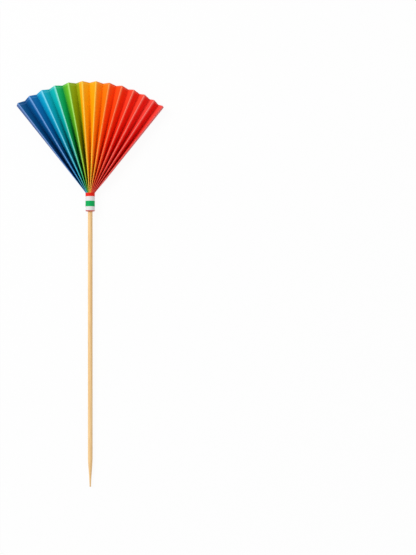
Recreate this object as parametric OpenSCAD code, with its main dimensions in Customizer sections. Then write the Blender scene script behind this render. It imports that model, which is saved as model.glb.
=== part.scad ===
// Paper fan pick: a pleated paper fan, bound by a striped paper band to the top of a round
// wooden skewer. It lies on its back as it comes to rest: the skewer along Y with its point at
// -Y, the fan at +Y, its front ridges facing up and the surface it lies on at Z = 0.
// Each piece is drawn about the skewer's axis, with the point at Y = 0, and then laid down.

/* [Skewer] */
// Diameter of the round skewer
skewer_d = 2.3; // [1.8:0.1:3.2]
// Length of the skewer, from its tip to the end hidden in the band
skewer_len = 140.2; // [90:0.1:200]
// Length of the ground point
point_len = 15; // [6:0.5:25]
// Diameter of the blunt tip
tip_d = 0.7; // [0.4:0.1:1.4]
// How long the point stays slim before it swells to its soft shoulder
point_curve = 1.6; // [1.2:0.1:2]
// How much smaller the hidden end is pared, so that it slides into the band
end_pare = 0.3; // [0.1:0.1:0.6]

/* [Paper fan] */
// Number of ridges on the front of the fan
ridges = 13; // [9:1:19]
// Length of the folded sheet, from its root in the band to its rim
sheet_len = 59.7; // [45:0.1:80]
// Thickness of the paper
paper_t = 0.1; // [0.06:0.01:0.16]
// Air between two folded layers where the band binds them
layer_gap = 0.045; // [0.03:0.005:0.08]
// Opening of the fan, from one long edge to the other
fan_angle = 78.4; // [50:0.2:110]
// Depth of the folds at the rim, where they are open widest
fold_depth = 2.3; // [1.2:0.1:4]
// How much wider the first folds stand open than the middle ones, as a share
spread_bias = 0.06; // [0:0.01:0.12]
// How much wider the middle folds stand open than those near both edges, as a share
spread_crown = 0.06; // [0:0.01:0.12]
// Angle that the first end pleat stands out beyond the first ridge
first_splay = 1.5; // [0.2:0.1:2.4]
// Angle that the last end pleat stands out beyond the last ridge
last_splay = 0.4; // [0.2:0.1:2.4]
// How much shorter the sheet reaches in a valley than on a ridge
rim_dip = 0.45; // [0:0.05:1.2]
// How much longer the sheet is cut at its first edge than in its middle
rim_slant = 0.5; // [-1:0.1:1]
// Length over which the layers turn outward from the band
bend_len = 2.4; // [1.8:0.1:5]
// Length over which the pinched folds open to their full depth
gather_len = 9; // [5:0.5:16]

/* [Band] */
// Length of the band
band_len = 9.3; // [8:0.1:14]
// Thickness of the wound paper round the fan's root
band_wall = 0.36; // [0.3:0.01:0.8]
// Rounding of the band's lower edge
edge_r = 0.5; // [0.2:0.05:0.7]
// Rounding of the band's upper edge
lip_r = 0.08; // [0.04:0.01:0.1]
// Length of the skewer held in the band
seat_len = 4.4; // [2.5:0.1:5.5]
// How far below the band's mouth the layers start to turn outward
mouth_depth = 0.95; // [0.6:0.05:1.2]
// Width of the red stripe at the band's mouth
top_red = 1.6; // [0.8:0.1:2]
// Width of the white stripe above the green one
upper_white = 2.35; // [1:0.05:3]
// Width of the green stripe
green = 2.6; // [1:0.05:3]
// Width of the thin red stripe at the band's lower end
bottom_red = 0.75; // [0.4:0.05:1.2]

/* [Fits] */
// Glue line between the band and what it holds
glue_gap = 0.05; // [0.03:0.01:0.1]
// Glue line between the skewer's end and the fan's root
butt_gap = 0.1; // [0.05:0.05:0.3]

/* [Hidden] */

// Facets that draw a full turn in the preview
round_fn = 64;
// Steps that draw the point's curve, and the rounds of the band's lower and upper edge
point_steps = 8;
edge_steps = 6;
lip_steps = 3;
// Steps round one fold, and along each stretch of the sheet
fold_steps = 3;
bend_steps = 4;
gather_steps = 4;
open_steps = 5;
// A layer that turns by less than this angle counts as straight
straight_a = 0.01;

// The folds are numbered across the sheet: 0 and last_fold are its free edges, the odd ones
// are ridges and the even ones are valleys
last_fold = 2 * ridges;
mid_fold = last_fold / 2;

// Folded flat, each fold is a U of this radius, so the layers lie side by side
layer_pitch = paper_t + layer_gap;
fold_r = layer_pitch / 2;
bundle_r = mid_fold * layer_pitch + paper_t / 2;

// Heights along the skewer's axis, from the tip
band_y = skewer_len - seat_len;
mouth_y = band_y + band_len;
root_y = skewer_len + butt_gap;
bend_y = mouth_y - mouth_depth;
overall_len = root_y + sheet_len;

// Stretches of the sheet, measured along it from its root
bend_at = bend_y - root_y;
mouth_at = mouth_y - root_y;
open_at = mouth_at + gather_len;

// The outer ridges' directions, and the widest gap between two folds at the rim
first_ridge_a = first_splay - fan_angle / 2;
last_ridge_a = fan_angle / 2 - last_splay;
ridge_mid_a = (first_ridge_a + last_ridge_a) / 2;
ridge_half_a = (last_ridge_a - first_ridge_a) / 2;
widest_gap = max([for (i = [1:last_fold - 2]) norm(fold_foot(i + 1, sheet_len) - fold_foot(i, sheet_len))]);

// Width of one pleat, from a ridge to the next valley
pleat_w = norm([fold_depth, widest_gap]);

// Sizes of the band: it grips the fan's root and the skewer
rod_r = skewer_d / 2;
bore_r = rod_r + glue_gap;
socket_r = max(bundle_r + glue_gap, bore_r);
mouth_r = socket_r + bend_out(fan_angle / 2, mouth_depth);
band_r = socket_r + band_wall;

// The stripes, from the band's lower end up: each one's top edge and colour
stripe_tops = [bottom_red, band_len - top_red - upper_white - green, band_len - top_red - upper_white,
               band_len - top_red, band_len];
stripe_colours = ["#E2352B", "#F4F2EF", "#00A050", "#F4F2EF", "#E8281C"];

// At rest the pick lies on the base of its point and on what tilts it more: the round of the
// band's lower edge, or the fan's first rear corner. Each run and drop is from the point's base
edge_run = band_y + edge_r - point_len;
edge_drop = band_r - edge_r - rod_r;
edge_tilt = atan2(edge_drop, edge_run) + asin(edge_r / norm([edge_drop, edge_run]));
corner_run = fold_foot(0, reach(0))[1] - point_len;
corner_drop = (fold_r + paper_t / 2) * sin(lean(0, reach(0))) - fold_z(0, reach(0)) - rod_r;
rest_tilt = max(edge_tilt, atan2(corner_drop, corner_run));
lift = rod_r * cos(rest_tilt) - point_len * sin(rest_tilt);

// A layer turns outward by angle a in all. A length l past the start of its bend, this is the
// turn that it has made, and how far it has come sideways and forward
function bend_turn(a, l) = a * min(max(l, 0), bend_len) / bend_len;
function bend_out(a, l) =
    abs(a) < straight_a ? 0 :
    bend_radius(a) * (1 - cos(bend_turn(a, l))) + max(l - bend_len, 0) * sin(a);
function bend_up(a, l) =
    abs(a) < straight_a ? l :
    bend_radius(a) * sin(bend_turn(a, l)) + max(l - bend_len, 0) * cos(a);
function bend_radius(a) = bend_len / (a * PI / 180);

// Smooth rise from 0 to 1
function smooth(t) = t <= 0 ? 0 : t >= 1 ? 1 : t * t * (3 - 2 * t);

function is_ridge(i) = i % 2 == 1;
function is_edge(i) = i == 0 || i == last_fold;
function side(i) = is_ridge(i) ? 1 : -1;

// Direction of fold i once the fan is open, away from the skewer's axis
function fold_a(i) =
    i == 0 ? -fan_angle / 2 :
    i == last_fold ? fan_angle / 2 :
    ridge_mid_a + ridge_half_a * spread((i - mid_fold) / (mid_fold - 1));
function spread(u) = u + (spread_bias + spread_crown * u) * (1 - u * u);

// Direction of fold i at a length l along the sheet
function fold_turn(i, l) = bend_turn(fold_a(i), l - bend_at);

// Place of fold i's centre, seen from the front, at a length l along the sheet
function fold_foot(i, l) =
    l < bend_at ? [(i - mid_fold) * layer_pitch, root_y + l] :
    [(i - mid_fold) * layer_pitch + bend_out(fold_a(i), l - bend_at),
     bend_y + bend_up(fold_a(i), l - bend_at)];

// Clear gap between folds i and i + 1, square to their direction
function fold_gap(i, l) =
    let (d = fold_foot(i + 1, l) - fold_foot(i, l), a = (fold_turn(i, l) + fold_turn(i + 1, l)) / 2)
    abs(d[0] * cos(a) - d[1] * sin(a));

// Depth of the pleat between folds i and i + 1, where nothing pinches it
function pleat_depth(i, l) = sqrt(pow(pleat_w, 2) - pow(fold_gap(i, l), 2));

// Height of fold i's centre: inside the band's round where it is bound, and the pleats' own
// depth where it is open
function bound_z(i) =
    i == 0 ? -bound_z(1) :
    i == last_fold ? -bound_z(last_fold - 1) :
    side(i) * sqrt(pow(bundle_r - fold_r - paper_t / 2, 2) - pow((i - mid_fold) * layer_pitch, 2));
function open_z(i, l) =
    i == 0 ? open_z(1, l) - pleat_depth(0, l) :
    i == last_fold ? open_z(i - 1, l) - pleat_depth(i - 1, l) :
    i == 1 ? pleat_depth(1, l) / 2 :
    i == last_fold - 1 ? pleat_depth(i - 1, l) / 2 :
    side(i) * (pleat_depth(i - 1, l) + pleat_depth(i, l)) / 4;
function fold_z(i, l) =
    let (t = smooth((l - mouth_at) / gather_len))
    bound_z(i) * (1 - t) + open_z(i, l) * t;

// Lean of the pleat between folds i and i + 1, off square to the fan
function lean(i, l) =
    let (gap = fold_gap(i, l), rise = abs(fold_z(i, l) - fold_z(i + 1, l)))
    atan2(gap, rise) - asin(2 * fold_r / norm([gap, rise]));

// Angles of the points round fold i, from the crest; a free edge has one point only
function fold_angles(i, l) =
    i == 0 ? [90 - lean(0, l)] :
    i == last_fold ? [lean(i - 1, l) - 90] :
    let (from = lean(i - 1, l) - 90, to = 90 - lean(i, l))
    [for (k = [0:fold_steps]) from + (to - from) * k / fold_steps];

// Length of the sheet along fold i
function reach(i) =
    sheet_len + rim_slant * (mid_fold - i) / mid_fold - (is_ridge(i) || is_edge(i) ? 0 : rim_dip);

// One face of the paper at station s, a share of the sheet's length: face is 1 for the front
// and -1 for the back
function face_points(s, face) = [
    for (i = [0:last_fold])
        let (l = s * reach(i), foot = fold_foot(i, l), turn = fold_turn(i, l), z = fold_z(i, l),
             r = fold_r + face * side(i) * paper_t / 2)
        for (a = fold_angles(i, l))
            [foot[0] + r * sin(a) * cos(turn),
             foot[1] - r * sin(a) * sin(turn),
             z + side(i) * r * cos(a)]
];

// Stations along the sheet, as lengths from the root: close together where it bends
stations = concat(
    [0],
    [for (k = [0:bend_steps]) bend_at + bend_len * k / bend_steps],
    [for (k = [1:gather_steps]) bend_at + bend_len + (open_at - bend_at - bend_len) * k / gather_steps],
    [for (k = [1:open_steps]) open_at + (sheet_len - open_at) * k / open_steps]
);

function reversed(v) = [for (k = [len(v) - 1:-1:0]) v[k]];

// Rings of points, front face first and back again, joined into one closed sheet
module folded_sheet() {
    rings = [
        for (l = stations)
            let (s = l / sheet_len)
            concat(face_points(s, 1), reversed(face_points(s, -1)))
    ];
    n = len(rings[0]);
    last = len(rings) - 1;
    // Both faces of the paper are cut along the same diagonals, so they can't cross
    sides = [
        for (j = [0:last - 1])
            for (k = [0:n - 1])
                let (a = j * n + k, b = j * n + (k + 1) % n, c = a + n, d = b + n)
                for (f = k < n / 2 ? [[a, d, b], [a, c, d]] : [[a, c, b], [b, c, d]]) f
    ];
    ends = [
        for (k = [0:n / 2 - 2])
            let (a = k, b = k + 1, c = n - 2 - k, d = n - 1 - k, top = last * n)
            for (f = [[a, c, d], [a, b, c], [top + a, top + c, top + b], [top + a, top + d, top + c]]) f
    ];
    polyhedron(points = [for (ring = rings) for (p = ring) p], faces = concat(sides, ends));
}

// Turns a shape drawn about Z to lie about Y
module along_y(y) {
    translate([0, y, 0]) rotate([-90, 0, 0]) children();
}

// Lays the whole pick down, with the middle of its length over the origin
module at_rest() {
    translate([0, -overall_len / 2, lift]) rotate([rest_tilt, 0, 0]) children();
}

module skewer() {
    tip_r = tip_d / 2;
    point = [for (k = [0:point_steps])
        let (t = k / point_steps)
        [tip_r + (rod_r - tip_r) * sin(90 * pow(t, point_curve)), point_len * t]];
    top = [[rod_r, band_y], [rod_r - end_pare / 2, skewer_len], [0, skewer_len]];
    color("#F0CE98") at_rest() along_y(0)
        rotate_extrude($fn = round_fn) polygon(concat([[0, 0]], point, top));
}

module paper_fan() {
    color("#FF9500") at_rest() folded_sheet();
}

// Outline of the band's wall, from the bore's foot outward, round and down the socket
module band_outline() {
    foot = [for (k = [0:edge_steps])
        let (a = 90 * k / edge_steps)
        [band_r - edge_r + edge_r * sin(a), edge_r - edge_r * cos(a)]];
    lip = [for (k = [0:lip_steps])
        let (a = 90 * k / lip_steps)
        [band_r - lip_r + lip_r * cos(a), band_len - lip_r + lip_r * sin(a)]];
    inside = [[mouth_r, band_len], [socket_r, band_len - mouth_depth], [socket_r, seat_len],
              [bore_r, seat_len], [bore_r, 0]];
    polygon(concat(foot, lip, inside));
}

module wrap_band() {
    at_rest() along_y(band_y)
        for (k = [0:len(stripe_tops) - 1]) {
            from = k == 0 ? 0 : stripe_tops[k - 1];
            color(stripe_colours[k]) rotate_extrude($fn = round_fn)
                intersection() {
                    band_outline();
                    translate([0, from]) square([2 * band_r, stripe_tops[k] - from]);
                }
        }
}

skewer();
paper_fan();
wrap_band();
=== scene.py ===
# %% [markdown]
# # Paper fan pick
# This lesson builds a paper fan pick: a round bamboo skewer with a ground point, and a
# pleated rainbow fan bound to its top by a striped paper band.
# The pick can't stand on its point, so it lies on its back, as it would on a table.
# The imported CAD model gives every size and place. It is loaded first, and its parts stay in
# the scene, hidden where a finished piece takes their place.

# %% Load the imported model
import math

import bpy
from mathutils import Matrix, Vector, noise


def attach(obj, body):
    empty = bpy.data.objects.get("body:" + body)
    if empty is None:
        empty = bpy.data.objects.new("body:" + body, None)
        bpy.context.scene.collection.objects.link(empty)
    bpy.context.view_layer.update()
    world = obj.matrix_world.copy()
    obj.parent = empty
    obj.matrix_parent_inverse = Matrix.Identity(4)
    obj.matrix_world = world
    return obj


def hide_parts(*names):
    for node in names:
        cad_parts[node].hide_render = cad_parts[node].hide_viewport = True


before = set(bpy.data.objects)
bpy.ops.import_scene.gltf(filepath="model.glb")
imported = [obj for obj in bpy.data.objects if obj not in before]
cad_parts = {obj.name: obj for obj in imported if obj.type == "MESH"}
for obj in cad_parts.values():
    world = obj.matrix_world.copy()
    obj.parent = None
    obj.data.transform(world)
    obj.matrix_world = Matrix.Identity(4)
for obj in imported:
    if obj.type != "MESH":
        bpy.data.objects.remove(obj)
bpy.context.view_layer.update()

print("CAD nodes:", sorted(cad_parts))

# %% [markdown]
# The pick is small, so its sizes are easiest to read in millimetres. Blender works in
# metres, and one factor turns the one into the other.
# The lengths along the pick start at the tip of the point and run up the skewer's axis.

# %% Sizes
MM = 0.001
LENGTH = 200.0
POINT_LEN = 15.0
SKEWER_LEN = 140.2
ROD_R = 1.15
TIP_R = 0.35
BAND_FOOT = 135.8
BAND_LEN = 9.3
PAPER = 0.09
print("bare skewer:", BAND_FOOT, "mm, and the band covers", BAND_LEN, "mm")

# %% [markdown]
# At rest the skewer touches the table at the base of its point, and the thicker band touches
# it with its lower edge. The axis rises by half a degree between them.
# Every piece is drawn level first, with the skewer along Y from its tip. This one matrix
# tilts it, lifts it onto the table and brings the middle of its length over the origin.

# %% How the pick lies
REST_TILT = math.radians(0.564449)
REST_LIFT = 1.00217
lay_down = (Matrix.Translation((0, -LENGTH / 2 * MM, REST_LIFT * MM))
            @ Matrix.Rotation(REST_TILT, 4, "X"))
print("the axis rises by", round(math.degrees(REST_TILT), 3), "degrees")

# %% [markdown]
# Colours are written as they look on a screen. The renderer counts light instead, so each
# one goes through the same small conversion.


# %% Colour codes
def colour(code):
    """Linear light values, with full opacity, of a colour written as #RRGGBB."""
    parts = [int(code[i:i + 2], 16) / 255 for i in (1, 3, 5)]
    return [p / 12.92 if p <= 0.04045 else ((p + 0.055) / 1.055) ** 2.4 for p in parts] + [1.0]


print("a screen's middle grey is", round(colour("#808080")[0], 3), "of full light")

# %% [markdown]
# Shapes and materials are both node trees. One helper adds any node, sets its options and
# fills its inputs in order, each with a number or with a link from another node.
# It hands back the node's output, ready to go into the next one. The kinds of node that are
# used most get a short name.


# %% Adding a node
def add(tree, kind, *values, out=None, **settings):
    """Adds a node. values fill its usable inputs in order, and None leaves one as it is."""
    node = tree.nodes.new(kind)
    for name, value in settings.items():
        setattr(node, name, value)
    for socket, value in zip([s for s in node.inputs if s.enabled], values):
        if isinstance(value, bpy.types.NodeSocket):
            tree.links.new(value, socket)
        elif value is not None:
            socket.default_value = value
    usable = [s for s in node.outputs if s.enabled]
    return node.outputs[out] if out else usable[0] if usable else node


MATH = "ShaderNodeMath"
VECTOR = "ShaderNodeVectorMath"
XYZ = "ShaderNodeCombineXYZ"
MAP_RANGE = "ShaderNodeMapRange"
MIX = "ShaderNodeMix"
RAMP = "ShaderNodeValToRGB"
NOISE = "ShaderNodeTexNoise"
SWITCH = "GeometryNodeSwitch"

# %% [markdown]
# ## Camera, ground and light
# The camera looks straight down on the pick, as it did for the photo. The pick lies left
# of the picture's middle, so the camera stands to its right.
# The lens covers 274.9 mm of table from 515 mm away, which is how large the pick appears, and
# a very small turn of the camera sets the skewer as straight as in the photo.

# %% The camera
EYE = Vector((58.1, 3.45, 515)) * MM
SEEN_HEIGHT = 274.9 * MM
EYE_TURN = math.radians(0.055)
NEAREST_SEEN = 10 * MM


def new_object(name, data):
    """Puts a new object with this camera, lamp or mesh into the scene."""
    made = bpy.data.objects.new(name, data)
    bpy.context.scene.collection.objects.link(made)
    return made


camera = new_object("camera", bpy.data.cameras.new("camera"))
camera.location = EYE
camera.rotation_euler.z = EYE_TURN
camera.data.lens = camera.data.sensor_width * EYE.z / SEEN_HEIGHT
camera.data.clip_start = NEAREST_SEEN
bpy.context.scene.camera = camera
print("lens", round(camera.data.lens, 1), "mm")

# %% [markdown]
# The ground is a white sheet with a wide border, so that it fills every view.

# %% The ground
SQUARE = ((-1, -1), (1, -1), (1, 1), (-1, 1))
HALF_WIDTHS = (1, 40)
corners = [(x * far, y * far, 0) for far in HALF_WIDTHS for x, y in SQUARE]
border = [(k, k + 4, (k + 1) % 4 + 4, (k + 1) % 4) for k in range(4)]
ground_mesh = bpy.data.meshes.new("ground")
ground_mesh.from_pydata(corners, [], [(0, 1, 2, 3), *border])
ground = new_object("ground", ground_mesh)
print("the ground is", 2 * HALF_WIDTHS[-1], "m wide")

# %% [markdown]
# White paper under studio light would come out a little grey, and its border would show. So
# the ground that is seen is mostly plain white, and a share of real shading stays in it, in
# which the pick still casts its shadow. The light that it throws back on the pick is that of
# ordinary white paper.
# The material tells the two apart by the kind of ray: seen directly is 1 where the ground is
# looked at straight, in a gloss or through something clear, and 0 elsewhere.

# %% White ground paper
PLAIN_WHITE = 0.93


def empty_tree(owner):
    """Switches on the nodes of a material or of a surround, and clears them."""
    owner.use_nodes = True
    owner.node_tree.nodes.clear()
    return owner.node_tree


def seen_directly(tree):
    """1 for light that goes to the eye straight, in a gloss or through something clear."""
    rays = add(tree, "ShaderNodeLightPath").node.outputs
    seen = add(tree, MATH, rays["Is Camera Ray"], rays["Is Glossy Ray"], operation="MAXIMUM")
    return add(tree, MATH, seen, rays["Is Transmission Ray"], operation="MAXIMUM")


white = bpy.data.materials.new("white_ground")
tree = empty_tree(white)
share = add(tree, MATH, seen_directly(tree), PLAIN_WHITE, operation="MULTIPLY")
matt = add(tree, "ShaderNodeBsdfDiffuse", colour("#F2F2F2"))
glow = add(tree, "ShaderNodeEmission", colour("#FFFFFF"), 1.0)
add(tree, "ShaderNodeOutputMaterial", add(tree, "ShaderNodeMixShader", share, matt, glow))
ground_mesh.materials.append(white)
print("share of plain white in the ground:", PLAIN_WHITE)

# %% [markdown]
# The light is a plain studio one. A large soft lamp stands at the upper left, so every
# pleat that faces left comes out brighter than its neighbour, and an even white
# surround fills the shadows. Seen straight or in a gloss, the surround is plain white.

# %% The lamp
LAMP_AT = Vector((-0.62, 0.42, 0.66))
LAMP_WIDTH = 0.45
LAMP_WATTS = 4.7
lamp = new_object("soft_lamp", bpy.data.lights.new("soft_lamp", "AREA"))
lamp.data.size = LAMP_WIDTH
lamp.data.energy = LAMP_WATTS
lamp.location = LAMP_AT
lamp.rotation_euler = (-LAMP_AT).to_track_quat("-Z", "Y").to_euler()
print("the lamp stands", round(LAMP_AT.length, 2), "m away")

# %% The surround
FILL_LIGHT = 0.71
surround = bpy.data.worlds.new("surround")
tree = empty_tree(surround)
level = add(tree, MAP_RANGE, seen_directly(tree), 0.0, 1.0, FILL_LIGHT, 1.0)
add(tree, "ShaderNodeOutputWorld", add(tree, "ShaderNodeBackground", colour("#FFFFFF"), level))
bpy.context.scene.world = surround
bpy.context.scene.view_settings.view_transform = "Standard"
print("the surround lights the shadows at", FILL_LIGHT)

# %% [markdown]
# ## The fan
# The fan is one sheet of paper, creased into 26 pleats and gathered at one end. It could be
# folded from a flat mesh by a cloth simulation, but its whole shape follows a rule: give it
# the fold angle and the sizes, and the paper follows. So a Geometry Nodes tree makes it.
# The folds are numbered across the sheet. 0 and 26 are its free edges, odd ones are ridges
# and even ones are valleys.
# These are the sizes that the tree takes. Four of them were matched to the photo once more,
# and differ from the CAD a little: the sheet's length, the fan's angle, the spread's bias and
# the bend. That moves a fold by 0.4 mm at most.

# %% The fan's sizes
FAN_SIZES = {
    "Ridges": 13,
    "Sheet Length": 59.66 * MM,
    "Layer Pitch": 0.145 * MM,
    "Pleat Width": 4.12552 * MM,
    "Fan Angle": math.radians(77.3),
    "First Splay": math.radians(1.5),
    "Last Splay": math.radians(0.4),
    "Spread Bias": 0.068,
    "Spread Crown": 0.06,
    "Rim Dip": 0.45 * MM,
    "Rim Slant": 0.5 * MM,
    "Root": 140.3 * MM,
    "Bend Start": 3.85 * MM,
    "Bend Length": 1.0 * MM,
    "Mouth": 4.8 * MM,
    "Gather Length": 9.0 * MM,
}
FOLDS = 2 * FAN_SIZES["Ridges"]
print("pleats:", FOLDS)

# %% [markdown]
# The tree's inputs carry those names, and the modifier that runs it fills them by name. The
# band has a tree of the same kind, so one helper opens both.


# %% A tree with named sizes
def new_tree(name, sizes):
    """A geometry tree with an input for each size and for its paper, and those inputs."""
    tree = bpy.data.node_groups.new(name, "GeometryNodeTree")
    for label, value in sizes.items():
        kind = "NodeSocketInt" if isinstance(value, int) else "NodeSocketFloat"
        tree.interface.new_socket(label, in_out="INPUT", socket_type=kind)
    tree.interface.new_socket("Paper", in_out="INPUT", socket_type="NodeSocketMaterial")
    tree.interface.new_socket("Geometry", in_out="OUTPUT", socket_type="NodeSocketGeometry")
    return tree, tree.nodes.new("NodeGroupInput").outputs


fan, size = new_tree("pleated_fan", FAN_SIZES)
last = add(fan, MATH, size["Ridges"], 2.0, operation="MULTIPLY")
print("inputs:", len(FAN_SIZES) + 1)

# %% [markdown]
# The paper starts as a flat grid. Each column knows which fold it belongs to: the first few
# columns of a fold go round its crease, and the others cross the flat pleat beyond it.
# Each row knows how far along the sheet it is.

# %% The flat grid
ROWS = 96
ARC_POINTS = 4
FLAT_POINTS = 5
UNIT = ARC_POINTS + FLAT_POINTS
columns = add(fan, MATH, last, UNIT, ARC_POINTS, operation="MULTIPLY_ADD")
grid = add(fan, "GeometryNodeMeshGrid", 1.0, 1.0, columns, ROWS)
number = add(fan, "GeometryNodeInputIndex")
row = add(fan, MATH, number, ROWS, operation="FLOORED_MODULO")
column = add(fan, MATH, add(fan, MATH, number, ROWS, operation="DIVIDE"), operation="FLOOR")
fold = add(fan, MATH, add(fan, MATH, column, UNIT, operation="DIVIDE"), operation="FLOOR")
step = add(fan, MATH, column, UNIT, operation="FLOORED_MODULO")
is_ridge = add(fan, MATH, fold, 2.0, operation="FLOORED_MODULO")
side = add(fan, MATH, is_ridge, 2.0, -1.0, operation="MULTIPLY_ADD")
is_first = add(fan, MATH, fold, 0.5, operation="LESS_THAN")
is_last = add(fan, MATH, fold, add(fan, MATH, last, 0.5, operation="SUBTRACT"),
              operation="GREATER_THAN")
is_edge = add(fan, MATH, is_first, is_last, operation="MAXIMUM")
print("columns:", FOLDS * UNIT + ARC_POINTS, "rows:", ROWS)

# %% [markdown]
# Each fold leaves the band in its own direction. The directions are spread evenly from the
# first ridge to the last one, with a small bias, because the first pleats stand wider open,
# and a small crown, because the middle ones do too. The free edges are the fan's outer lines.

# %% Each fold's direction
half_fan = add(fan, MATH, size["Fan Angle"], 0.5, operation="MULTIPLY")
first_angle = add(fan, MATH, size["First Splay"], half_fan, operation="SUBTRACT")
last_angle = add(fan, MATH, half_fan, size["Last Splay"], operation="SUBTRACT")
even = add(fan, MAP_RANGE, fold, 1.0, add(fan, MATH, last, 1.0, operation="SUBTRACT"),
           -1.0, 1.0, clamp=False)
bulge = add(fan, MATH, add(fan, MATH, even, even, operation="MULTIPLY"), -1.0, 1.0,
            operation="MULTIPLY_ADD")
uneven = add(fan, MATH, size["Spread Crown"], even, size["Spread Bias"],
             operation="MULTIPLY_ADD")
spread = add(fan, MATH, bulge, uneven, even, operation="MULTIPLY_ADD")
angle = add(fan, MAP_RANGE, spread, -1.0, 1.0, first_angle, last_angle, clamp=False)
angle = add(fan, SWITCH, is_last, angle, half_fan, input_type="FLOAT")
angle = add(fan, SWITCH, is_first, angle, add(fan, MATH, half_fan, -1.0, operation="MULTIPLY"),
            input_type="FLOAT")
print("nodes so far:", len(fan.nodes))

# %% [markdown]
# The distance along the sheet runs from its root to its rim. Rows lie closer together near
# the root, where the paper bends most. A valley's paper is cut a little shorter, because the
# folded rim is trimmed along a curve, and the rim slants a little from one side to the other.

# %% Distance along the sheet
ROW_CROWDING = 1.35
part = add(fan, MATH, add(fan, MATH, row, ROWS - 1, operation="DIVIDE"), ROW_CROWDING,
           operation="POWER")
is_valley = add(fan, MATH, 1.0, add(fan, MATH, is_ridge, is_edge, operation="MAXIMUM"),
                operation="SUBTRACT")
dip = add(fan, MATH, is_valley, size["Rim Dip"], operation="MULTIPLY")
slant = add(fan, MATH, size["Rim Slant"], add(fan, MATH, 1.0, add(
    fan, MATH, fold, size["Ridges"], operation="DIVIDE"), operation="SUBTRACT"),
    operation="MULTIPLY")
reach = add(fan, MATH, size["Sheet Length"], dip, operation="SUBTRACT")
reach = add(fan, MATH, reach, slant, operation="ADD")
along = add(fan, MATH, part, reach, operation="MULTIPLY")
print("nodes so far:", len(fan.nodes))

# %% [markdown]
# Seen from above, a fold runs straight up inside the band, turns outward in a round bend and
# goes on straight. The chord of the bend and the straight run are two arrows that are
# added to the fold's place in the band. The chord is shorter than the bend by a 24th of the
# turn's square, which is exact enough for such small turns.


# %% Where a fold goes, seen from above
def arrow(tree, turn, length):
    """An arrow of this length, turned by this much from the skewer's direction."""
    flat = add(tree, XYZ, add(tree, MATH, turn, operation="SINE"),
               add(tree, MATH, turn, operation="COSINE"), 0.0)
    return add(tree, VECTOR, flat, length, operation="SCALE")


past = add(fan, MATH, along, size["Bend Start"], operation="SUBTRACT")
bent = add(fan, MAP_RANGE, past, 0.0, size["Bend Length"], 0.0, 1.0)
turn = add(fan, MATH, angle, bent, operation="MULTIPLY")
half_turn = add(fan, MATH, turn, 0.5, operation="MULTIPLY")
shrink = add(fan, MATH, add(fan, MATH, turn, turn, operation="MULTIPLY"), -1 / 24, 1.0,
             operation="MULTIPLY_ADD")
chord = add(fan, MATH, add(fan, MATH, bent, size["Bend Length"], operation="MULTIPLY"), shrink,
            operation="MULTIPLY")
run = add(fan, MATH, add(fan, MATH, past, size["Bend Length"], operation="SUBTRACT"), 0.0,
          operation="MAXIMUM")
across = add(fan, MATH, add(fan, MATH, fold, size["Ridges"], operation="SUBTRACT"),
             size["Layer Pitch"], operation="MULTIPLY")
up = add(fan, MATH, add(fan, MATH, size["Root"], size["Bend Start"], operation="ADD"),
         add(fan, MATH, past, 0.0, operation="MINIMUM"), operation="ADD")
foot = add(fan, XYZ, across, up, 0.0)
foot = add(fan, VECTOR, foot, arrow(fan, half_turn, chord), operation="ADD")
foot = add(fan, VECTOR, foot, arrow(fan, angle, run), operation="ADD")
print("nodes so far:", len(fan.nodes))

# %% [markdown]
# A pleat never stretches, so its depth follows from the gap between its two folds: the gap
# and the depth are the short sides of a triangle whose long side is the pleat's width.
# To measure the gap, each fold looks up its neighbour one unit of columns further on.


# %% How deep each pleat stands
def at_fold(tree, value, folds, kind="FLOAT"):
    """The same value at a fold further on (or back), in the same row and step."""
    there = add(tree, MATH, number, folds * UNIT * ROWS, operation="ADD")
    return add(tree, "GeometryNodeFieldAtIndex", value, there, data_type=kind)


apart = add(fan, VECTOR, at_fold(fan, foot, 1, "FLOAT_VECTOR"), foot, operation="SUBTRACT")
mean_turn = add(fan, MATH, add(fan, MATH, at_fold(fan, turn, 1), turn, operation="ADD"), 0.5,
                operation="MULTIPLY")
square_on = add(fan, MATH, mean_turn, math.pi / 2, operation="ADD")
gap = add(fan, VECTOR, apart, arrow(fan, square_on, 1.0), operation="DOT_PRODUCT")
gap = add(fan, MATH, gap, operation="ABSOLUTE")
width_2 = add(fan, MATH, size["Pleat Width"], 2.0, operation="POWER")
depth = add(fan, MATH, add(fan, MATH, gap, 2.0, operation="POWER"), -1.0, width_2,
            operation="MULTIPLY_ADD")
depth = add(fan, MATH, depth, operation="SQRT")
print("nodes so far:", len(fan.nodes))

# %% [markdown]
# The folds' heights come next. Where the fan is open, a ridge stands above the middle by
# half of its two pleats' mean depth, which is a quarter of their sum, and a valley lies as far
# below. The free edges hang down behind.

# %% Heights in the open fan
before = at_fold(fan, depth, -1)
on_first_ridge = add(fan, MATH, fold, 1.5, operation="LESS_THAN")
on_last_ridge = add(fan, MATH, fold, add(fan, MATH, last, 1.5, operation="SUBTRACT"),
                    operation="GREATER_THAN")
left_depth = add(fan, SWITCH, on_first_ridge, before, depth, input_type="FLOAT")
right_depth = add(fan, SWITCH, on_last_ridge, depth, before, input_type="FLOAT")
open_z = add(fan, MATH, add(fan, MATH, left_depth, right_depth, operation="ADD"),
             add(fan, MATH, side, 0.25, operation="MULTIPLY"), operation="MULTIPLY")
first_z = add(fan, MATH, at_fold(fan, open_z, 1), depth, operation="SUBTRACT")
last_z = add(fan, MATH, at_fold(fan, open_z, -1), before, operation="SUBTRACT")
open_z = add(fan, SWITCH, is_first, open_z, first_z, input_type="FLOAT")
open_z = add(fan, SWITCH, is_last, open_z, last_z, input_type="FLOAT")
print("nodes so far:", len(fan.nodes))

# %% [markdown]
# In the band the layers are squeezed into a round bundle, so the circle gives the height. A
# smooth rise leads from the one to the other above the band's mouth.

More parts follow.
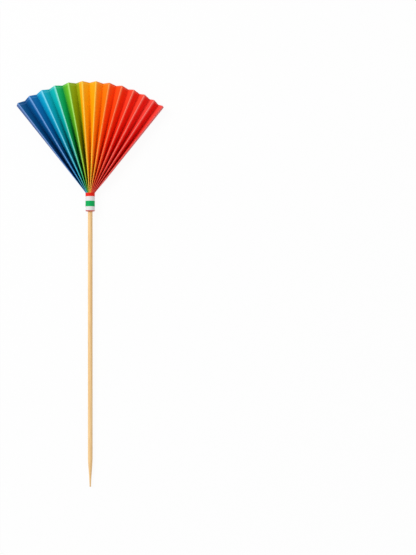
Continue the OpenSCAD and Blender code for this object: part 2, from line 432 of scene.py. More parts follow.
# %% Heights in the band
squeeze = add(fan, MATH, size["Ridges"], -0.5, operation="ADD")
squeeze = add(fan, MATH, squeeze, size["Layer Pitch"], operation="MULTIPLY")
outer = add(fan, MATH, squeeze, add(fan, MATH, size["Layer Pitch"], 0.5, operation="MULTIPLY"),
            operation="SUBTRACT")
from_axis = add(fan, MATH, add(fan, MATH, across, operation="ABSOLUTE"), outer,
                operation="MINIMUM")
round_z = add(fan, MATH, add(fan, MATH, from_axis, 2.0, operation="POWER"), -1.0,
              add(fan, MATH, squeeze, 2.0, operation="POWER"), operation="MULTIPLY_ADD")
round_z = add(fan, MATH, add(fan, MATH, round_z, operation="SQRT"), side, operation="MULTIPLY")
opened = add(fan, MAP_RANGE, along, size["Mouth"],
             add(fan, MATH, size["Mouth"], size["Gather Length"], operation="ADD"), 0.0, 1.0,
             interpolation_type="SMOOTHSTEP")
height = add(fan, MIX, opened, round_z, open_z, data_type="FLOAT")
print("nodes so far:", len(fan.nodes))

# %% [markdown]
# Each crease is a tiny round bend. The pleat leaves it at the angle at which it touches both
# neighbouring creases, like a belt that crosses from one wheel to the next.

# %% Round creases
crease_r = add(fan, MATH, size["Layer Pitch"], 0.5, operation="MULTIPLY")
rise = add(fan, MATH, add(fan, MATH, at_fold(fan, height, 1), height, operation="SUBTRACT"),
           operation="ABSOLUTE")
span = add(fan, MATH, add(fan, MATH, gap, 2.0, operation="POWER"),
           add(fan, MATH, rise, 2.0, operation="POWER"), operation="ADD")
span = add(fan, MATH, span, operation="SQRT")
lean = add(fan, MATH, add(fan, MATH, gap, rise, operation="ARCTAN2"),
           add(fan, MATH, add(fan, MATH, size["Layer Pitch"], span, operation="DIVIDE"),
               operation="ARCSINE"), operation="SUBTRACT")
start = add(fan, MATH, at_fold(fan, lean, -1), math.pi / 2, operation="SUBTRACT")
end = add(fan, MATH, math.pi / 2, lean, operation="SUBTRACT")
tilt = add(fan, MAP_RANGE, step, 0.0, ARC_POINTS - 1, start, end)
sideways = add(fan, MATH, add(fan, MATH, tilt, operation="SINE"), crease_r,
               operation="MULTIPLY")
upward = add(fan, MATH, add(fan, MATH, tilt, operation="COSINE"), crease_r,
             operation="MULTIPLY")
upward = add(fan, MATH, upward, side, height, operation="MULTIPLY_ADD")
crease = add(fan, VECTOR, foot,
             arrow(fan, add(fan, MATH, turn, math.pi / 2, operation="ADD"), sideways),
             operation="ADD")
crease = add(fan, VECTOR, crease, add(fan, XYZ, 0.0, 0.0, upward), operation="ADD")
print("nodes so far:", len(fan.nodes))

# %% [markdown]
# The columns between two creases cross the pleat in a straight line from one crease's last
# point to the next one's first point. They lie closest together beside the creases, which
# keeps the pleat's face flat and its edge crisp.


# %% Flat pleats
def at_step(tree, value, wanted, kind="FLOAT"):
    """The same value at another column of the unit, in the same row."""
    shift = add(tree, MATH, wanted, step, operation="SUBTRACT")
    there = add(tree, MATH, shift, ROWS, number, operation="MULTIPLY_ADD")
    return add(tree, "GeometryNodeFieldAtIndex", value, there, data_type=kind)


on_flat = add(fan, MATH, step, ARC_POINTS - 0.5, operation="GREATER_THAN")
crossed = add(fan, MAP_RANGE, step, ARC_POINTS - 1, UNIT, 0.0, math.pi)
crossed = add(fan, MATH, add(fan, MATH, crossed, operation="COSINE"), -0.5, 0.5,
              operation="MULTIPLY_ADD")
near = at_step(fan, crease, ARC_POINTS - 1, "FLOAT_VECTOR")
far = at_step(fan, crease, UNIT, "FLOAT_VECTOR")
flat = add(fan, MIX, crossed, near, far, data_type="VECTOR")
place = add(fan, SWITCH, on_flat, crease, flat, input_type="VECTOR")
print("nodes so far:", len(fan.nodes))

# %% [markdown]
# The paper also gets a map of itself, for its print. One direction counts the folds, with
# a twentieth of a pleat for the crease's own bend, and the other is the share of the sheet's
# length. The map is stored first, and then the flat grid's points move to their places.


# %% The paper's own map
def lay_out(tree, sheet, own_map, place):
    """Stores a sheet's own map on its corners, and moves its points to their places."""
    own_map = add(tree, "GeometryNodeFieldOnDomain", own_map, data_type="FLOAT_VECTOR",
                  domain="POINT")
    sheet = add(tree, "GeometryNodeStoreNamedAttribute", sheet, True, "UVMap", own_map,
                data_type="FLOAT2", domain="CORNER")
    return add(tree, "GeometryNodeSetPosition", sheet, True, place)


CREASE_SHARE = 0.05
round_crease = add(fan, MAP_RANGE, step, 0.0, ARC_POINTS - 1, -CREASE_SHARE / 2,
                   CREASE_SHARE / 2)
on_pleat = add(fan, MAP_RANGE, crossed, 0.0, 1.0, CREASE_SHARE / 2, 1 - CREASE_SHARE / 2)
within = add(fan, SWITCH, on_flat, round_crease, on_pleat, input_type="FLOAT")
count = add(fan, MATH, fold, within, operation="ADD")
length_share = add(fan, MATH, along, size["Sheet Length"], operation="DIVIDE")
folded = lay_out(fan, grid, add(fan, XYZ, count, length_share, 0.0), place)
print("nodes so far:", len(fan.nodes))

# %% [markdown]
# The free edges have no crease, so the columns that would go round one are deleted. The tree
# ends by shading the paper smooth, turning it into real mesh and giving it its material.


# %% The fan's last nodes
def end_tree(tree, sheet, paper):
    """Ends a tree: smooth shading, real mesh, the material and the tree's output."""
    sheet = add(tree, "GeometryNodeSetShadeSmooth", sheet)
    sheet = add(tree, "GeometryNodeRealizeInstances", sheet)
    sheet = add(tree, "GeometryNodeSetMaterial", sheet, True, paper)
    add(tree, "NodeGroupOutput", sheet)


first_spare = add(fan, MATH, is_first, add(fan, MATH, step, ARC_POINTS - 1.5,
                                           operation="LESS_THAN"), operation="MULTIPLY")
last_spare = add(fan, MATH, is_last, add(fan, MATH, step, 0.5, operation="GREATER_THAN"),
                 operation="MULTIPLY")
spare = add(fan, MATH, first_spare, last_spare, operation="MAXIMUM")
folded = add(fan, "GeometryNodeDeleteGeometry", folded, spare, domain="POINT")
end_tree(fan, folded, size["Paper"])
print("nodes in the fan's tree:", len(fan.nodes))

# %% [markdown]
# The tree runs once on an empty object, and its result is kept as a plain mesh. Then the
# sheet is laid down with the rest of the pick, and gets the thickness of real paper, half of
# it on either side.


# %% From the tree to the paper
def run_tree(name, tree, values):
    """Runs a node tree with these inputs and returns its result as an ordinary object."""
    maker = new_object(name + "_maker", bpy.data.meshes.new(name + "_maker"))
    rule = maker.modifiers.new("rule", "NODES")
    rule.node_group = tree
    for item in tree.interface.items_tree:
        if item.in_out == "INPUT":
            rule[item.identifier] = values[item.name]
    bpy.context.view_layer.update()
    shape = maker.evaluated_get(bpy.context.evaluated_depsgraph_get())
    mesh = bpy.data.meshes.new_from_object(shape)
    bpy.data.objects.remove(maker)
    mesh.name = name
    mesh.transform(lay_down)
    return new_object(name, mesh)


def thicken(sheet):
    """Gives a sheet the thickness of its paper."""
    wall = sheet.modifiers.new("paper_thickness", "SOLIDIFY")
    wall.thickness = PAPER * MM
    wall.offset = 0.0


fan_paper = bpy.data.materials.new("printed_satin_paper")
paper_fan = run_tree("pleated_paper_fan", fan, {**FAN_SIZES, "Paper": fan_paper})
thicken(paper_fan)
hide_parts("paper_fan")
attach(paper_fan, "root")
print("fan:", len(paper_fan.data.vertices), "points,", len(paper_fan.data.polygons), "faces")

# %% [markdown]
# ## The fan's print
# The sheet is satin-coated paper, printed in a rainbow from blue through green and orange to
# red. The print could be a picture, but a colour ramp stays sharp at any size. It holds one
# stop for each change, and the number that it reads is the count of folds, so each pleat
# takes the colour that is printed there. In the red field the stops alternate between lighter
# and darker reds. That is painted light and shade: the pleats that face left, towards the
# lamp, get the lighter stops, and those that face right the darker ones.

# %% The printed colours
PRINT_AND_SIDE_SHADE = [
    (0.0, "#2D55A0"), (1.0, "#05588E"), (2.0, "#00528E"), (3.0, "#0062A6"), (3.9, "#0078B8"),
    (4.1, "#00A4D4"), (5.2, "#00AECC"), (6.1, "#00BCC0"), (6.9, "#00BAAE"), (7.1, "#00B87A"),
    (7.9, "#00B45C"), (8.1, "#4CB834"), (8.9, "#72BA10"), (9.2, "#8CB000"), (10.45, "#A8AC00"),
    (10.5, "#FFA800"), (12.0, "#FFAE00"), (12.9, "#FFA000"), (13.1, "#FF8C00"),
    (14.9, "#FF7400"), (15.1, "#FF4800"), (16.5, "#FC4E10"), (17.5, "#F42C00"),
    # Painted light and shade: the red stops alternate, lighter where a pleat faces left and
    # darker where it faces right.
    (18.5, "#F84428"), (19.5, "#F01C08"), (20.5, "#F84C34"), (21.5, "#EC1810"),
    (22.5, "#F85044"), (23.5, "#EA1610"), (24.5, "#F84C40"), (26.0, "#D8282C"),
]


def lay_colours(ramp, fields, whole):
    """Gives a colour ramp its colours. Each field is a place from 0 to whole, and a code."""
    stops = ramp.node.color_ramp.elements
    stops.remove(stops[-1])
    stops[0].color = colour(fields[0][1])
    for place_at, code in fields[1:]:
        stops.new(place_at / whole).color = colour(code)
    return ramp


tree = empty_tree(fan_paper)
paper_map = add(tree, "ShaderNodeSeparateXYZ", add(tree, "ShaderNodeTexCoord", out="UV")).node
folds_at = paper_map.outputs["X"]
along_at = paper_map.outputs["Y"]
fold_share = add(tree, MATH, folds_at, FOLDS, operation="DIVIDE")
printed_and_shaded = lay_colours(add(tree, RAMP, fold_share), PRINT_AND_SIDE_SHADE, FOLDS)
print("colour stops:", len(PRINT_AND_SIDE_SHADE))

# %% [markdown]
# Shade is painted along the valleys, and more so towards the root, where the pleats are
# deepest and stand close. A second ramp holds the painted shade of each field, and a mask
# says how much of it a place takes.
# Valley is 0 on a ridge and 1 in a valley. Near the rim only the valley line itself is painted
# darker, and near the root the painted shade reaches almost up to the ridge. It fades out
# again just above the band, where the pleats are pressed together.
# Each Map Range node here reads the share of the sheet's length. Its numbers say where a
# change starts and ends, and the value at either place.

# %% Painted shade in the valleys
VALLEY_SHADE = [
    (0.0, "#0C3468"), (3.0, "#001E44"), (4.5, "#00304C"), (7.0, "#003028"), (8.0, "#003400"),
    (9.5, "#4A5A00"), (10.4, "#746C00"), (10.6, "#FFB400"), (12.0, "#E88800"), (12.5, "#FFA400"),
    (13.0, "#FFB800"), (14.0, "#E06400"), (14.5, "#FF7000"), (15.0, "#FF7400"), (16.0, "#D42000"),
    (16.5, "#FF3C00"), (17.0, "#F02C00"), (18.0, "#D41000"), (18.5, "#FF2400"), (19.0, "#DC1400"),
    (20.0, "#CC0804"), (20.5, "#FF1C08"), (21.0, "#D40C04"), (22.0, "#C80804"), (22.5, "#FF180C"),
    (23.0, "#D40C08"), (24.0, "#C80808"), (24.5, "#F81410"), (26.0, "#C80C10"),
]
valley_shade = lay_colours(add(tree, RAMP, fold_share), VALLEY_SHADE, FOLDS)
valley = add(tree, MATH, add(tree, MATH, folds_at, 1.0, operation="ADD"), 1.0,
             operation="PINGPONG")
sharpness = add(tree, MAP_RANGE, along_at, 0.43, 0.93, 0.55, 2.0)
crowding = add(tree, MAP_RANGE, along_at, 0.36, 0.93, 1.0, 0.25)
bound = add(tree, MAP_RANGE, along_at, 0.08, 0.2, 0.15, 1.0)
painted_shade_share = add(tree, MATH, add(tree, MATH, valley, sharpness, operation="POWER"), crowding,
            operation="MULTIPLY")
painted_shade_share = add(tree, MATH, painted_shade_share, bound, operation="MULTIPLY")
print("deep stops:", len(VALLEY_SHADE))

# %% [markdown]
# The two sides of a ridge differ, as light falls on them. The pleats that face left, towards
# the lamp, take less of the painted shade than those that face right, and least of all in the
# blue and green fields. Warm is 0 in those fields and 1 from orange to red.
# Halfway down the sheet and below it, the warm pleats that face left are darkened all over
# with painted shade as well, by a share of it that they hold even on the ridge.

# %% Pleats that face left and right
pair = add(tree, MATH, add(tree, MATH, folds_at, 0.5, operation="MULTIPLY"), operation="FRACT")
faces_left = add(tree, MATH, pair, 0.5, operation="LESS_THAN")
warm = add(tree, MAP_RANGE, folds_at, 9.0, 12.0, 0.0, 1.0)
light = add(tree, MAP_RANGE, warm, 0.0, 1.0, 0.4, 0.85)
on_left = add(tree, MAP_RANGE, along_at, 0.5, 0.9, light, 1.0)
on_right = add(tree, MAP_RANGE, along_at, 0.5, 0.7, 1.3, 1.0)
by_side = add(tree, MIX, faces_left, on_right, on_left, data_type="FLOAT")
painted_shade_share = add(tree, MATH, painted_shade_share, by_side, operation="MULTIPLY")
left_warm_shade = add(tree, MAP_RANGE, along_at, 0.6, 0.9, 0.7, 0.0)
left_warm_shade = add(tree, MATH, left_warm_shade, add(tree, MATH, warm, faces_left, operation="MULTIPLY"),
              operation="MULTIPLY")
# Painted shade: the warm pleats that face left take this share of the valley shade all over.
printed_and_shaded = add(tree, MIX, left_warm_shade, printed_and_shaded, valley_shade, data_type="RGBA")
# Painted shade: each place takes the valley shade as far as its mask says.
valley_shaded = add(tree, MIX, painted_shade_share, printed_and_shaded, valley_shade, data_type="RGBA")
print("nodes in the print so far:", len(tree.nodes))

# %% [markdown]
# Each ridge shows as a line in a paler tint of its own colour. That is partly wear, where
# folding cracks the print and thins it, and partly a painted highlight on the rounded crease.
# Thin strips of mesh could make such lines, but a mask on the map gives them a soft edge and
# costs no faces.
# Three ramps hold the tints: the pale ones near the rim, the vivid ones further down, which
# are painted highlight that keeps the ridges bright where the steep pleats shade them, and the
# duller ones just above the band, where the ridges are pressed together.

# %% The ridges' tints
CREST = [
    (0.0, "#6C90D4"), (3.0, "#74A6E0"), (4.0, "#68C4F0"), (5.0, "#7CDAF0"), (7.0, "#8CE2D6"),
    (8.0, "#90E090"), (9.0, "#B0E66C"), (10.4, "#D8EC50"), (10.6, "#FFD050"), (13.0, "#FFC84C"),
    (15.0, "#FFA04C"), (17.0, "#FF8658"), (20.0, "#FF8070"), (24.0, "#FF7C74"), (25.0, "#FA4840"),
    (26.0, "#E03830"),
]
VIVID = [
    (0.0, "#3C74BC"), (1.0, "#4080C8"), (3.0, "#48B4F4"), (5.0, "#40D4F0"), (7.0, "#50DC94"),
    (9.0, "#A8DC30"), (10.4, "#C8DC30"), (10.6, "#FFDC30"), (14.0, "#FFDC30"), (15.0, "#FFCC30"),
    (17.0, "#FF7820"), (19.0, "#FF6038"), (21.0, "#FF5848"), (24.0, "#FF5044"), (25.0, "#F83C30"),
    (26.0, "#E83428"),
]
PRESSED = [
    (0.0, "#3C78B0"), (1.0, "#4C94C8"), (3.0, "#5CB8D8"), (5.0, "#60C8C0"), (7.0, "#54C464"),
    (9.0, "#A0C03C"), (10.0, "#B8B838"), (10.6, "#FFD058"), (14.5, "#FFCC58"), (15.5, "#FFA850"),
    (17.0, "#FF6C40"), (20.0, "#F85848"), (24.0, "#F05048"), (26.0, "#E03830"),
]
pale, vivid, pressed = (lay_colours(add(tree, RAMP, fold_share), tints, FOLDS)
                        for tints in (CREST, VIVID, PRESSED))
# Painted highlight: towards the root the ridges take the vivid tints.
root_highlight = add(tree, MAP_RANGE, along_at, 0.2, 0.5, 1.0, 0.0)
tint = add(tree, MIX, root_highlight, pale, vivid, data_type="RGBA")
squeezed = add(tree, MAP_RANGE, along_at, 0.14, 0.28, 1.0, 0.0)
tint = add(tree, MIX, squeezed, tint, pressed, data_type="RGBA")
print("tints:", len(CREST), len(VIVID), len(PRESSED))

# %% [markdown]
# The distance to the nearest ridge is measured on the map, in millimetres. Towards the root,
# where the pleats stand steep, a strip beside each ridge is left free of the painted shade and
# keeps the full bright colour. It is broadest on the pleats that face left, towards the lamp.
# On those that face right it is almost nothing in the blue and green fields, and broader in
# the warm ones.

# %% Bright ink beside the ridges
PLEAT = FAN_SIZES["Pleat Width"] / MM
from_ridge = add(tree, MATH, valley, PLEAT, operation="MULTIPLY")
broad = add(tree, MAP_RANGE, folds_at, 8.0, 12.0, 0.3, 2.6)
broad = add(tree, MAP_RANGE, along_at, 0.3, 0.8, broad, 0.3)
broad_left = add(tree, MAP_RANGE, along_at, 0.3, 0.8, 4.0, 0.3)
broad = add(tree, MIX, faces_left, broad, broad_left, data_type="FLOAT")
beside = add(tree, MAP_RANGE, from_ridge, 0.0, broad, 1.0, 0.0)
crest = add(tree, MIX, beside, valley_shaded, printed_and_shaded, data_type="RGBA")
print("a pleat is", round(PLEAT, 2), "mm from ridge to valley")

# %% [markdown]
# The line of wear and painted highlight fades out softly on either side of the ridge. A noise
# with patches of about a millimetre makes it thinner in one place and wider in another, and
# three factors widen it. Steep is 3 on the open paper and over 8 towards the root, where the
# ridge is painted as one bright edge, and bright widens it more in the warm fields. Narrow
# shares the width out between the ridge's two sides: most of it lies on the left one, which
# faces the lamp, in the blue and green fields, and a little more than half of it on the right
# one in the warm fields.
# A noise node takes its place, the patches in a metre, how many finer layers are added to
# them, and how strong each of these is.

# %% The worn and highlighted line on each ridge
PATCHES_A_METRE = 900.0
WEAR_AND_HIGHLIGHT_CORE = 0.06
WEAR_AND_HIGHLIGHT_STRENGTH = 0.93
grain_place = add(tree, "ShaderNodeTexCoord", out="Object")
patchy = add(tree, NOISE, grain_place, PATCHES_A_METRE, 3.0, 0.6)
wear_and_highlight_width = add(tree, MAP_RANGE, patchy, 0.3, 0.7, 0.28, 0.4)
steep = add(tree, MAP_RANGE, along_at, 0.2, 0.5, 8.5, 2.9)
bright = add(tree, MAP_RANGE, along_at, 0.3, 0.75, 1.45, 1.0)
bright = add(tree, MIX, warm, 1.0, bright, data_type="FLOAT")
steep = add(tree, MATH, steep, bright, operation="MULTIPLY")
wear_and_highlight_width = add(tree, MATH, wear_and_highlight_width, steep, operation="MULTIPLY")
left_strip = add(tree, MAP_RANGE, along_at, 0.4, 0.6, 2.1, 1.4)
lopsided = add(tree, MAP_RANGE, faces_left, 0.0, 1.0, 0.45, left_strip)
centred = add(tree, MAP_RANGE, faces_left, 0.0, 1.0, 1.15, 0.75)
narrow = add(tree, MIX, warm, lopsided, centred, data_type="FLOAT")
wear_and_highlight_width = add(tree, MATH, wear_and_highlight_width, narrow, operation="MULTIPLY")
# Partly wear and partly painted highlight: a paler tint along each ridge.
wear_and_highlight = add(tree, MAP_RANGE, from_ridge, WEAR_AND_HIGHLIGHT_CORE, wear_and_highlight_width, WEAR_AND_HIGHLIGHT_STRENGTH, 0.0,
           interpolation_type="SMOOTHSTEP")
lined = add(tree, MIX, wear_and_highlight, crest, tint, data_type="RGBA")
print("patches of wear:", round(1 / (PATCHES_A_METRE * MM), 2), "mm")

# %% [markdown]
# The rim is trimmed after folding, and a fine pale line runs along it, 0.9 mm in from the cut.

# %% The pale line along the rim
SHEET = FAN_SIZES["Sheet Length"] / MM
MARK_IN = 0.9
from_rim = add(tree, MATH, add(tree, MATH, 1.0, along_at, operation="SUBTRACT"), SHEET,
               operation="MULTIPLY")
mark = add(tree, MATH, add(tree, MATH, from_rim, MARK_IN, operation="SUBTRACT"),
           operation="ABSOLUTE")
mark = add(tree, MAP_RANGE, mark, 0.05, 0.25, 0.3, 0.0)
print_shade_and_highlight = add(tree, MIX, mark, lined, tint, data_type="RGBA")
print("the sheet is", round(SHEET, 2), "mm long")

# %% [markdown]
# Satin-coated paper is pressed smooth under rollers, but it isn't mirror-smooth. To the eye
# that gives a soft broad sheen and no reflections. Its coat has an IOR of about 1.48, and a
# roughness near a half, a little uneven from patch to patch. The shader takes the colour,
# metallic, the roughness, the IOR, the opacity and the relief, in this order.
# Fine fibres under the coat lift the surface by a few thousandths of a millimetre. Real ones
# are about 0.02 mm wide, too fine to show, so they are drawn at 0.4 mm.

# %% Satin-coated printed paper
FIBRES_A_METRE = 2500.0
FIBRE_RELIEF = 0.02 * MM
PAPER_IOR = 1.48
fibres = add(tree, NOISE, grain_place, FIBRES_A_METRE, 4.0, 0.55)
relief = add(tree, "ShaderNodeBump", 0.15, FIBRE_RELIEF, None, fibres)
gloss = add(tree, MAP_RANGE, patchy, 0.3, 0.7, 0.44, 0.52)
surface = add(tree, "ShaderNodeBsdfPrincipled", print_shade_and_highlight, 0.0, gloss, PAPER_IOR, 1.0, relief)
surface.node.inputs["Specular IOR Level"].default_value = 0.2
add(tree, "ShaderNodeOutputMaterial", surface)
print("nodes in the print:", len(tree.nodes))

# %% [markdown]
# ## The band
# A strip of striped paper is wound round the fan's root and the skewer's end, turn upon turn,
# and glued. A plain tube would do from afar, but the turns show at both ends, so the strip is
# wound here too. It is a spiral with a rule: the radius grows by one layer of paper with each
# turn. The inner turns are narrow and fill the space round the skewer.
# The outer ones cover the band, all but the outermost stopping a little short of the
# mouth, so that the fan has room to turn outward. The lower edge draws back from turn to
# turn, and that makes it look round. The band's foot lies 0.2 mm higher than the CAD's, where
# the photo has it.

# %% The band's sizes
FOOT_GAP = 0.2
BAND_SIZES = {
    "Inner Radius": 1.25 * MM,
    "Outer Radius": 2.295 * MM,
    "Layer": 0.1045 * MM,
    "Band Length": (BAND_LEN - FOOT_GAP) * MM,
    "Seat Length": 4.4 * MM,
    "Socket Radius": 1.985 * MM,
    "Outer Turn": 2.18 * MM,
    "Mouth Room": 0.6 * MM,
    "Edge Rounding": 0.5 * MM,
    "Foot": (BAND_FOOT + FOOT_GAP) * MM,
    "Outer End": math.radians(-60),
}
wrap, size = new_tree("wound_band", BAND_SIZES)
wall = add(wrap, MATH, size["Outer Radius"], size["Inner Radius"], operation="SUBTRACT")
turns = add(wrap, MATH, wall, size["Layer"], operation="DIVIDE")
print("inputs:", len(BAND_SIZES) + 1)

# %% [markdown]
# The strip starts as a flat grid too. Its columns follow the winding, and each knows its own
# radius and how far round it is. The outer end of the paper lies at the front, on the left.

# %% Winding the strip
BAND_ROWS = 24
TURN_STEPS = 72
steps = add(wrap, MATH, turns, TURN_STEPS, operation="MULTIPLY")
strip = add(wrap, "GeometryNodeMeshGrid", 1.0, 1.0, steps, BAND_ROWS)
number = add(wrap, "GeometryNodeInputIndex")
row = add(wrap, MATH, number, BAND_ROWS, operation="FLOORED_MODULO")
column = add(wrap, MATH, add(wrap, MATH, number, BAND_ROWS, operation="DIVIDE"),
             operation="FLOOR")
last_step = add(wrap, MATH, add(wrap, MATH, steps, operation="FLOOR"), 1.0,
                operation="SUBTRACT")
wound = add(wrap, MATH, column, last_step, operation="DIVIDE")
radius = add(wrap, MATH, wound, wall, size["Inner Radius"], operation="MULTIPLY_ADD")
way_round = add(wrap, MATH, add(wrap, MATH, wound, turns, operation="MULTIPLY"), turns,
                operation="SUBTRACT")
way_round = add(wrap, MATH, way_round, math.tau, size["Outer End"], operation="MULTIPLY_ADD")
print("rows:", BAND_ROWS, "columns in a turn:", TURN_STEPS)

# %% [markdown]
# The strip's lower and upper edges depend on the radius. A circle draws the lower one back in
# the outer turns. The upper one stands at the seat in the inner turns, and steps up to the
# band's full length where the covering turns begin.

# %% The strip's two edges
STEP_UP = 0.04 * MM
full_r = add(wrap, MATH, size["Outer Radius"], size["Edge Rounding"], operation="SUBTRACT")
beyond = add(wrap, MATH, add(wrap, MATH, radius, full_r, operation="SUBTRACT"), 0.0,
             operation="MAXIMUM")
rounding_2 = add(wrap, MATH, size["Edge Rounding"], 2.0, operation="POWER")
drawn_back = add(wrap, MATH, add(wrap, MATH, beyond, 2.0, operation="POWER"), -1.0, rounding_2,
                 operation="MULTIPLY_ADD")
drawn_back = add(wrap, MATH, add(wrap, MATH, drawn_back, 0.0, operation="MAXIMUM"),
                 operation="SQRT")
low = add(wrap, MATH, size["Edge Rounding"], drawn_back, operation="SUBTRACT")
covers = add(wrap, MAP_RANGE, radius, size["Socket Radius"],
             add(wrap, MATH, size["Socket Radius"], STEP_UP, operation="ADD"), 0.0, 1.0)
short = add(wrap, MATH, size["Band Length"], size["Mouth Room"], operation="SUBTRACT")
high = add(wrap, MAP_RANGE, radius, size["Socket Radius"], size["Outer Turn"], short,
           size["Band Length"])
high = add(wrap, MIX, covers, size["Seat Length"], high, data_type="FLOAT")
level = add(wrap, MAP_RANGE, row, 0.0, BAND_ROWS - 1, low, high)
print("nodes so far:", len(wrap.nodes))

# %% [markdown]
# The radius, the way round and the level give each point its place. The strip's own map counts
# the turns one way and gives the share of the band's length the other way.

# %% The wound band
spiral = add(wrap, XYZ,
             add(wrap, MATH, add(wrap, MATH, way_round, operation="SINE"), radius,
                 operation="MULTIPLY"),
             add(wrap, MATH, level, size["Foot"], operation="ADD"),
             add(wrap, MATH, add(wrap, MATH, way_round, operation="COSINE"), radius,
                 operation="MULTIPLY"))
band_map = add(wrap, XYZ, add(wrap, MATH, way_round, math.tau, operation="DIVIDE"),
               add(wrap, MATH, level, size["Band Length"], operation="DIVIDE"), 0.0)
end_tree(wrap, lay_out(wrap, strip, band_map, spiral), size["Paper"])

band_paper = bpy.data.materials.new("glossy_striped_paper")
band = run_tree("wound_paper_band", wrap, {**BAND_SIZES, "Paper": band_paper})
thicken(band)
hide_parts("wrap_band")
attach(band, "root")
print("band:", len(band.data.vertices), "points")

# %% [markdown]
# ## The band's paper
# The stripes are printed along the strip, so their colour depends only on the height. A ramp
# with hard steps holds them, by the height in millimetres at which each one starts. A noise
# makes their edges waver by a few hundredths of a millimetre, as printed ink does.

# %% The stripes
STRIPES = [(0.0, "#DC2010"), (0.42, "#E6E5E4"), (2.4, "#00AA58"), (5.15, "#E6E5E4"),
           (7.38, "#E6200E")]
RAMP_SPAN = 10.0
WAVES_A_METRE = 400.0
WAVE_HEIGHT = 0.06
tree = empty_tree(band_paper)
band_uv = add(tree, "ShaderNodeSeparateXYZ", add(tree, "ShaderNodeTexCoord", out="UV")).node
level = add(tree, MATH, band_uv.outputs["Y"], BAND_LEN - FOOT_GAP, operation="MULTIPLY")
wobble = add(tree, NOISE, add(tree, "ShaderNodeTexCoord", out="Object"), WAVES_A_METRE, 2.0, 0.5)
wavy = add(tree, MATH, add(tree, MATH, wobble, -0.5, operation="ADD"), WAVE_HEIGHT, level,
           operation="MULTIPLY_ADD")
stripes = add(tree, RAMP, add(tree, MATH, wavy, RAMP_SPAN, operation="DIVIDE"))
stripes.node.color_ramp.interpolation = "CONSTANT"
lay_colours(stripes, STRIPES, RAMP_SPAN)
print("stripes:", len(STRIPES))

# %% [markdown]
# Fine grey lines, about 0.3 mm apart, slant round the band and darken the stripes a little,
# most visibly on the white, and the paper is raised a little along them.
# The paper is calendered and glossy. To the eye that gives a narrow soft highlight down the
# band. Its IOR is 1.5 and its roughness 0.35, with a thin coat of glue over it.

# %% Glossy striped paper
LINES_A_MM = 3.2
SLANT_A_TURN = 0.35
LINE_RELIEF = 0.03 * MM
BAND_IOR = 1.5
slant = add(tree, MATH, band_uv.outputs["X"], SLANT_A_TURN, wavy, operation="MULTIPLY_ADD")
lines = add(tree, NOISE, add(tree, XYZ, 0.0, slant, 0.0), LINES_A_MM, 3.0, 0.7)
shadowed = add(tree, MAP_RANGE, lines, 0.45, 0.7, 0.0, 0.3)
banded = add(tree, MIX, shadowed, stripes, colour("#B9A9AC"), data_type="RGBA",
             blend_type="MULTIPLY")
raised = add(tree, "ShaderNodeBump", 0.3, LINE_RELIEF, None, lines)
coat = add(tree, "ShaderNodeBsdfPrincipled", banded, 0.0, 0.35, BAND_IOR, 1.0, raised)
coat.node.inputs["Specular IOR Level"].default_value = 0.1
coat.node.inputs["Coat Weight"].default_value = 0.05
coat.node.inputs["Coat Roughness"].default_value = 0.2
add(tree, "ShaderNodeOutputMaterial", coat)
print("nodes in the band's paper:", len(tree.nodes))

# %% [markdown]
# ## The skewer
# The skewer is split from bamboo, drawn round through a die and ground to a point. A cylinder
# and a cone would meet in a hard line, where the real point has a soft shoulder.
# So it is turned here as rings of points, whose radius follows one smooth curve along the
# point. The end that the band hides is pared a little.


# %% The skewer's outline
POINT_STEP = 0.25
SHAFT_STEP = 1.5
SHOULDER = 1.6
PARED = 0.15


def rod_radius(at):
    """The skewer's radius this far from its tip, in millimetres."""
    if at < POINT_LEN:
        return TIP_R + (ROD_R - TIP_R) * math.sin(math.pi / 2 * (at / POINT_LEN) ** SHOULDER)
    if at > BAND_FOOT:
        return ROD_R - PARED * (at - BAND_FOOT) / (SKEWER_LEN - BAND_FOOT)
    return ROD_R


stations = [k * POINT_STEP for k in range(int(POINT_LEN / POINT_STEP))]
stations += [POINT_LEN + k * SHAFT_STEP
             for k in range(int((BAND_FOOT - POINT_LEN) / SHAFT_STEP) + 1)]
stations += [BAND_FOOT, (BAND_FOOT + SKEWER_LEN) / 2, SKEWER_LEN]
print("rings:", len(stations))

# %% [markdown]
# Fine grooves follow the bamboo's fibres. A smooth noise, read on a circle round the skewer,
# takes up to 0.02 mm off the radius. It changes fast round the skewer and slowly along it.

# %% Rings of points
RING_POINTS = 72
GROOVE_DEPTH = 0.02
GROOVES_ROUND = 9
GROOVES_ALONG = 0.05
points = []
for at in stations:
    for k in range(RING_POINTS):
        a = math.tau * k / RING_POINTS
        groove = noise.noise(Vector((math.sin(a) * GROOVES_ROUND, math.cos(a) * GROOVES_ROUND,
                                     at * GROOVES_ALONG)))
        r = rod_radius(at) - GROOVE_DEPTH * max(groove, 0.0)
        points.append(Vector((r * math.sin(a), at, r * math.cos(a))) * MM)
points += [Vector((0, stations[0], 0)) * MM, Vector((0, stations[-1], 0)) * MM]
print("points:", len(points))

# %% [markdown]
# Four-sided faces join each ring to the next one, and a fan of triangles closes either end.

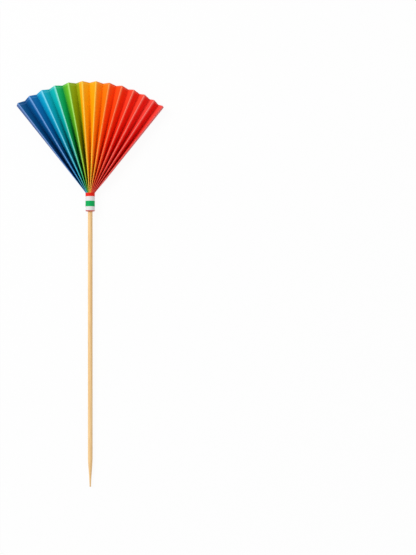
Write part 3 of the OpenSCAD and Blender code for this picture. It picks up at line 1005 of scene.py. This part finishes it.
# %% The skewer's skin
tip, top = len(points) - 2, len(points) - 1
upper = (len(stations) - 1) * RING_POINTS
faces = []
for ring in range(len(stations) - 1):
    for k in range(RING_POINTS):
        a, b = ring * RING_POINTS + k, ring * RING_POINTS + (k + 1) % RING_POINTS
        faces.append((a, b, b + RING_POINTS, a + RING_POINTS))
for k in range(RING_POINTS):
    faces.append((tip, (k + 1) % RING_POINTS, k))
    faces.append((top, upper + k, upper + (k + 1) % RING_POINTS))
rod_mesh = bpy.data.meshes.new("bamboo_skewer")
rod_mesh.from_pydata(points, [], faces)
rod_mesh.transform(lay_down)
rod_mesh.polygons.foreach_set("use_smooth", [True] * len(faces))
skewer = new_object("bamboo_skewer", rod_mesh)
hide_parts("skewer")
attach(skewer, "root")
print("skewer:", len(points), "points")

# %% [markdown]
# ## The skewer's wood
# Bamboo is pale straw with fine darker fibres that run the whole length. Sanded and left bare,
# it looks matt, with a roughness of 0.6 and wood's IOR of 1.45.
# The fibres are about 0.25 mm wide. Both noises are stretched more than thirty times along
# the skewer: one draws the fibres, and a broader one shifts the straw's tone.

# %% Sanded bamboo
FIBRES = (4000, 120, 4000)
TONES = (900, 25, 900)
BAMBOO_RELIEF = 0.04 * MM
WOOD_IOR = 1.45
bamboo = bpy.data.materials.new("sanded_bamboo")
rod_mesh.materials.append(bamboo)
tree = empty_tree(bamboo)
where = add(tree, "ShaderNodeTexCoord", out="Object")
fibre = add(tree, NOISE, add(tree, "ShaderNodeMapping", where, None, None, FIBRES), 1.0, 4.0, 0.6)
tone = add(tree, NOISE, add(tree, "ShaderNodeMapping", where, None, None, TONES), 1.0, 2.0, 0.5)
straw = add(tree, MIX, add(tree, MAP_RANGE, tone, 0.35, 0.65, 0.0, 1.0),
            colour("#F5D097"), colour("#EABF81"), data_type="RGBA")
wood = add(tree, MIX, add(tree, MAP_RANGE, fibre, 0.5, 0.75, 0.0, 0.55),
           straw, colour("#B87C40"), data_type="RGBA")
grooves = add(tree, "ShaderNodeBump", 0.4, BAMBOO_RELIEF, None, fibre)
matt_wood = add(tree, "ShaderNodeBsdfPrincipled", wood, 0.0, 0.6, WOOD_IOR, 1.0, grooves)
add(tree, "ShaderNodeOutputMaterial", matt_wood)
print("nodes in the wood:", len(tree.nodes))
